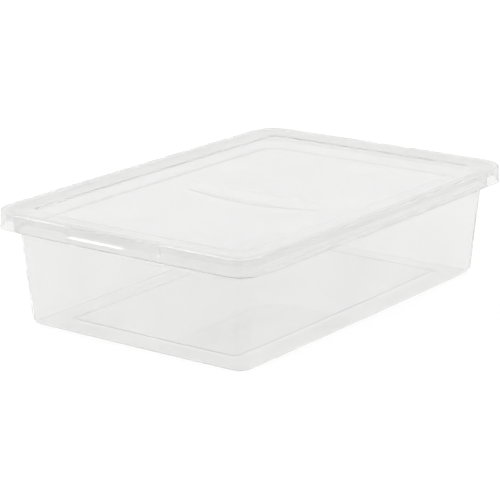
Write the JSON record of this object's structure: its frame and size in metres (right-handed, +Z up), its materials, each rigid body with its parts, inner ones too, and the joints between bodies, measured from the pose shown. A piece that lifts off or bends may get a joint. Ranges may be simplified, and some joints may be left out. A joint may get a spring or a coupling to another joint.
{
  "type": "storage bin with lid",
  "caption": "Shallow clear plastic storage bin with a lift-off lid that has a stacking recess and finger scoops.",
  "frame": {"origin": "middle of the bin's base, on the surface that it stands on", "axes": "+X along the long sides, +Y along the short sides, which have the finger scoops, +Z up"},
  "size_m": [0.584, 0.4, 0.146],
  "materials": {
    "tub_plastic": "clear polypropylene, polished, slightly hazy",
    "lid_plastic": "clear polypropylene, polished, slightly hazy"
  },
  "bodies": {
    "tub": {"tub": "tub_plastic"},
    "lid": {"lid": "lid_plastic"}
  },
  "joints": [
    {"name": "lid_lift", "type": "slide", "parent": "tub", "child": "lid", "axis": [0, 0, 1], "range_m": [0, 0.16]}
  ]
}
